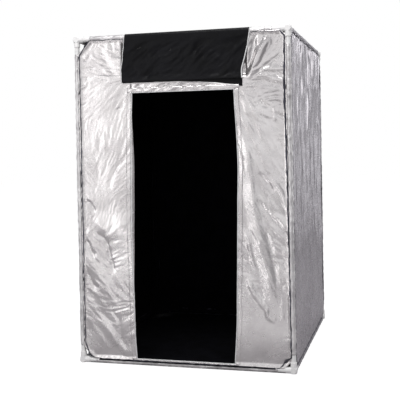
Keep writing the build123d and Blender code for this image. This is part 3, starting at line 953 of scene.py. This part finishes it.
def side_facing(name, side):
    """The facing down the doorway's left or right edge."""
    width = 0.019
    t, z = np.meshgrid(np.linspace(0.0005, width, 6), np.linspace(DOOR_BOTTOM, DOOR_TOP, 320))
    sway = 0.0008 * np.sin(z * 31 + side) + 0.0006 * np.sin(z * 83)
    x = door_edge(side, z) + side * (t + sway * smooth(t / width))
    return facing(name, x if side > 0 else x[:, ::-1], z, SILVER)


# The edge of the black cloth below the flap, which droops to the right, as (x, height)
ROOT_EDGE = [(-0.262, 1.215), (-0.1, 1.215), (0, 1.214), (0.05, 1.2112), (0.1, 1.208), (0.15, 1.203),
             (0.2, 1.196), (0.23, 1.1925), (0.26, 1.185), (0.274, 1.183)]

root_x, root_t = np.meshgrid(np.linspace(-0.255, 0.272, 150), np.linspace(0, 1, 9))
root_low = curve_at(ROOT_EDGE, root_x)
root = facing("flap_root", root_x, root_low + (SEAM_Z + 0.004 - root_low) * root_t, FLAP_BLACK)
hem_x = np.linspace(-0.252, 0.262, 90)
hem_line = np.stack([hem_x, curve_at(ROOT_EDGE, hem_x) - 0.0026], axis=1)
top_hem = np.meshgrid(np.linspace(-0.234, 0.256, 150), np.linspace(DOOR_TOP + 0.0005, DOOR_TOP + 0.018, 5))
sill = [(x, DOOR_BOTTOM - 0.0022) for x in (-0.228, 0.235)]
rim = door_outline(-0.0012)
door_parts = {
    "doorway_piping": edging("door_piping", rim, 0.0044, 0.0034, -0.0002, PIPING, closed=True),
    "doorway_hem_left": side_facing("door_hem_left", -1),
    "doorway_hem_right": side_facing("door_hem_right", 1),
    "doorway_hem_top": facing("door_hem_top", *top_hem, SILVER),
    "doorway_sill": edging("door_sill", sill, 0.004, 0.0022, 0.0, SILVER, wobble=0.0004, seed=6),
    "flap_seam_tape": edging("flap_seam", hem_line, 0.0054, 0.003, 0.0012, SLEEVE_SILVER, wobble=0.0004,
                             seed=7),
}
for replaced, piece in door_parts.items():
    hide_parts(replaced)
    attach(piece, "frame")
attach(root, "frame")


# ---- sleeves
def make_sleeve(name, start, end, outward, seed, silver):
    """The fabric tube round one pipe, crinkled and gathered at its ends, silver outside and black where it
    faces inwards. Under the flap, the upper front rail's sleeve lies close to its pipe."""
    rng = np.random.default_rng(seed)
    start, end = np.array(start, float), np.array(end, float)
    length = np.linalg.norm(end - start)
    along = (end - start) / length
    first = unit(np.array(outward, float))
    second = np.cross(along, first)
    rows, cols = int(length / 0.0045), 28
    turns = np.linspace(0, TAU, cols, endpoint=False)
    s, a = np.meshgrid(np.linspace(0, length, rows), turns, indexing="ij")
    noise = rng.normal(size=s.shape)
    crinkle = blurred(noise, 1.3) - blurred(noise, 3.2)
    slow = blurred(rng.normal(size=s.shape), 5.0)
    ends = np.minimum(s, length - s)
    gather = 0.0005 * np.sin(a * 9 + rng.uniform(0, TAU)) * np.exp(-ends / 0.012)
    rough = 0.00075 * crinkle / crinkle.std() + 0.00035 * slow / slow.std()
    radius = SLEEVE_RADIUS + np.clip(rough, -0.001, 0.0016) * smooth(ends / 0.01 + 0.4) + gather
    if name == "top_front_rail":
        close = 0.0119
        under_flap = smooth((s - 0.12) / 0.02) * smooth((0.75 - s) / 0.02)
        radius = np.where(radius > close, radius - (radius - close) * under_flap, radius)
    turned = np.cos(a)[..., None] * first + np.sin(a)[..., None] * second
    axis = start + s[..., None] * along
    outer = (axis + radius[..., None] * turned).reshape(-1, 3)
    inner = (axis + (PIPE_RADIUS + 0.0002) * turned).reshape(-1, 3)
    silver_ends = 0.09 if name == "top_left_rail" else 0.012
    black_from = BLACK_FROM.get(name, 0.55 if name.startswith("bottom") else 0.15)
    black = (np.cos((np.arange(cols) + 0.5) / cols * TAU) < black_from) & (ends[:-1, :1] >= silver_ends)
    quads = grid_faces(rows, cols, wrap=True)
    return closed_sheet(f"sleeve_{name}", outer, inner, quads, [silver, LINING], black.ravel())


# The cosine of the angle from a sleeve's outermost line at which its black begins, where it is its own
BLACK_FROM = {"bottom_right_rail": -0.15}
FACES = (("front", -1), ("back", 1))
SIDES = (("left", -1), ("right", 1))

# Each sleeve's ends and the way it faces
sleeves = {}
ends_x, ends_y = HALF_WIDTH - SLEEVE_START, HALF_DEPTH - SLEEVE_START
for level, z, up in (("bottom", AXIS_LOW, -1), ("top", AXIS_HIGH, 1)):
    for face, way in FACES:
        y = way * AXIS_Y
        sleeves[f"{level}_{face}_rail"] = ((-ends_x, y, z), (ends_x, y, z), (0, way, up))
    for side, way in SIDES:
        x = way * AXIS_X
        sleeves[f"{level}_{side}_rail"] = ((x, -ends_y, z), (x, ends_y, z), (way, 0, up))
for face, way_y in FACES:
    for side, way_x in SIDES:
        x, y, top = way_x * AXIS_X, way_y * AXIS_Y, HEIGHT - SLEEVE_START
        sleeves[f"{face}_{side}_post"] = ((x, y, SLEEVE_START), (x, y, top), (way_x, way_y, 0))
for seed, (name, (start, end, outward)) in enumerate(sleeves.items(), 101):
    # the sleeves of the right rails get the sleeve foil with painted shade
    silver = SHADED_SLEEVE if name.endswith("right_rail") else SLEEVE_SILVER
    piece = make_sleeve(name, start, end, outward, seed, silver)
    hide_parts(f"{name}_sleeve")
    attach(piece, "frame")


# ---- door flap
def make_flap():
    """The flap's cloth, and the grid of its outer points, from its seam to its hem."""
    cols, rows = 120, 260
    t, s = np.meshgrid(np.linspace(0, 1, cols), np.linspace(0, FLAP_LENGTH, rows))
    x = curve_at(FLAP_LEFT_EDGE, s) * (1 - t) + curve_at(FLAP_RIGHT_EDGE, s) * t
    y, z, out_y, out_z = flap_path(s)
    h = flap_map.at(x - FLAP_MID, s - FLAP_LENGTH / 2) + 0.0008
    grid = np.stack([x, y + out_y * h, z + out_z * h], axis=-1)
    return cloth_sheet("door_flap", grid.reshape(-1, 3), rows, cols, [FLAP_BLACK, SILVER]), grid


def flap_cord(name, path, width):
    """The white corded edge along a line of the flap's own points."""
    path = spaced(path, PATH_STEP)
    tangent = unit(np.gradient(path, axis=0))
    sides = np.broadcast_to(np.array((1.0, 0.0, 0.0)), path.shape)
    outs = unit(np.cross(tangent, sides))
    return ribbon(name, path, sides, outs, width, CORD_HEIGHT, PIPING)


flap, flap_grid = make_flap()
hem_path = spaced(flap_grid[-1], PATH_STEP)
hem_sides = np.broadcast_to(np.array((0.0, 1.0, 0.0)), hem_path.shape)
hem_outs = np.broadcast_to(np.array((0.0, 0.0, 1.0)), hem_path.shape)
cords = [
    flap_cord("flap_cord_left", flap_grid[:, 0], 0.003),
    flap_cord("flap_cord_right", flap_grid[:, -1], 0.0048),
    ribbon("flap_cord_hem", hem_path, hem_sides, hem_outs, 0.004, CORD_HEIGHT, PIPING),
]
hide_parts("flap_lower_cloth", "flap_upper_cloth")
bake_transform(flap)
for cord in cords[:2]:
    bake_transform(cord)
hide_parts("flap_lower_piping", "flap_upper_piping")
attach(cords[2], "flap_upper")

for wall, (half_u, half_v) in SIZES.items():
    area = 4 * half_u * half_v - sum(cut**2 for cut in CUTS[wall]) / 2
    sewn_on = [bindings[wall]]
    if wall == "front":
        area -= (STRAIGHT_RIGHT - STRAIGHT_LEFT) * (DOOR_TOP - DOOR_BOTTOM)
        sewn_on += [*door_parts.values(), root]


# ---- floor, light and camera
def camera_sees(tree, kind, seen, otherwise):
    """Ends a node tree with one shader where the camera looks at it, and another for everything else."""
    output = new_node(tree, "Output" + kind)
    path = new_node(tree, "LightPath")
    mix = new_node(tree, "MixShader")
    tree.links.new(path.outputs["Is Camera Ray"], mix.inputs["Fac"])
    tree.links.new(otherwise, mix.inputs[1])
    tree.links.new(seen, mix.inputs[2])
    tree.links.new(mix.outputs["Shader"], output.inputs["Surface"])


def studio_floor_material():
    """Pale floor: white where it is looked at, and a mid tone where it lights the tent or is mirrored."""
    material = bpy.data.materials.new("studio_floor")
    material.use_nodes = True
    tree = material.node_tree
    tree.nodes.clear()
    plain = new_node(tree, "BsdfDiffuse", Color=(0.38, 0.37, 0.38, 1))
    pale = new_node(tree, "BsdfDiffuse", Color=grey(0.25))
    glow = new_node(tree, "Emission", Strength=0.92)
    both = new_node(tree, "AddShader")
    tree.links.new(pale.outputs["BSDF"], both.inputs[0])
    tree.links.new(glow.outputs["Emission"], both.inputs[1])
    camera_sees(tree, "Material", both.outputs["Shader"], plain.outputs["BSDF"])
    return material


corners = [(-14, -14, 0), (14, -14, 0), (14, 14, 0), (-14, 14, 0)]
ground = new_mesh("studio_floor", corners, np.array([(0, 1, 2, 3)]), [studio_floor_material()], np.zeros(1))
ground.location.z = -0.0008


def softbox(name, place, aim, size, brightness, tint=(1, 1, 1)):
    """A rectangular lamp of an even brightness, kept out of the picture itself."""
    lamp = bpy.data.lights.new(name, "AREA")
    lamp.shape = "RECTANGLE"
    lamp.size, lamp.size_y = size
    lamp.energy = brightness * math.pi * size[0] * size[1]
    lamp.color = tint
    thing = bpy.data.objects.new(name, lamp)
    thing.location = place
    thing.rotation_euler = (Vector(aim) - Vector(place)).to_track_quat("-Z", "Y").to_euler()
    thing.visible_camera = False
    bpy.context.scene.collection.objects.link(thing)
    return thing


COOL = (0.98, 0.97, 1)
softbox("key", (-1.2, -3.4, 1.1), (-1.2, 0, 1.1), (1.1, 1.8), 0.52, (1, 0.985, 0.97))
softbox("left_key", (-2.55, -3.4, 1.45), (-2.55, 0, 1.45), (1.7, 2.9), 1.5)
softbox("front", (0.45, -5, 1.4), (0.45, 0, 1.4), (3, 3.2), 0.5)
strip = softbox("floor_strip", (-0.72, -2.25, 0.02), (-0.72, -2.25, 2), (0.3, 1.6), 2.3)
strip.rotation_euler = (math.pi, 0, math.radians(-33))
softbox("floor_right", (0.3, -1.6, 0.02), (0.3, -1.6, 2), (0.8, 1.5), 0.3)
softbox("right", (3.8, 0.4, 1.3), (0.5, 0.2, 0.9), (1.6, 2.4), 1.25)
softbox("overhead", (0.3, -2, 3.6), (0.1, -0.2, 0.6), (2.4, 1.2), 6.5)
softbox("rim_high", (2.2, 3.9, 2.6), (0.45, 0, 1), (0.9, 1.7), 1.8, COOL)
softbox("rim_low", (2.2, 3.9, 0.9), (0.45, 0, 0.9), (0.9, 1.5), 0.35, COOL)
softbox("rim_thin", (1.5, 3.9, 1.3), (0.5, 0, 0.8), (0.3, 2.8), 0.9, COOL)
softbox("top", (0.2, 0.6, 3.8), (0, 0, 1), (2.5, 2), 1.2)
softbox("back", (-2.8, 3, 2.2), (0, 0.3, 0.8), (2.4, 2), 1.6)
softbox("back_wide", (-1.5, 4.4, 1.3), (-0.2, 0.5, 0.9), (2, 2.6), 1.3)
softbox("left_wide", (-3.8, 1.3, 1.4), (-0.5, 0.2, 0.9), (2.2, 2.6), 1)
softbox("left_thin", (-3.2, -0.15, 1.2), (-0.5, -0.1, 0.9), (0.3, 2.4), 1.2)

world = bpy.data.worlds.new("studio")
bpy.context.scene.world = world
world.use_nodes = True
world.node_tree.nodes.clear()
seen = new_node(world.node_tree, "Background", Color=grey(1), Strength=1)
light = new_node(world.node_tree, "Background", Color=(0.97, 0.97, 1, 1), Strength=0.34)
camera_sees(world.node_tree, "World", seen.outputs["Background"], light.outputs["Background"])

bpy.context.scene.view_settings.view_transform = "Standard"

lens = bpy.data.cameras.new("camera")
lens.sensor_width = 36
lens.lens = 70.13
lens.shift_x = -0.0167
lens.shift_y = -0.1058
lens.clip_end = 60
camera = bpy.data.objects.new("camera", lens)
camera.location = (0.9517, -3.6634, 0.9504)
camera.rotation_euler = [math.radians(x) for x in (88.931, 1.123, 14.881)]
bpy.context.scene.collection.objects.link(camera)
bpy.context.scene.camera = camera
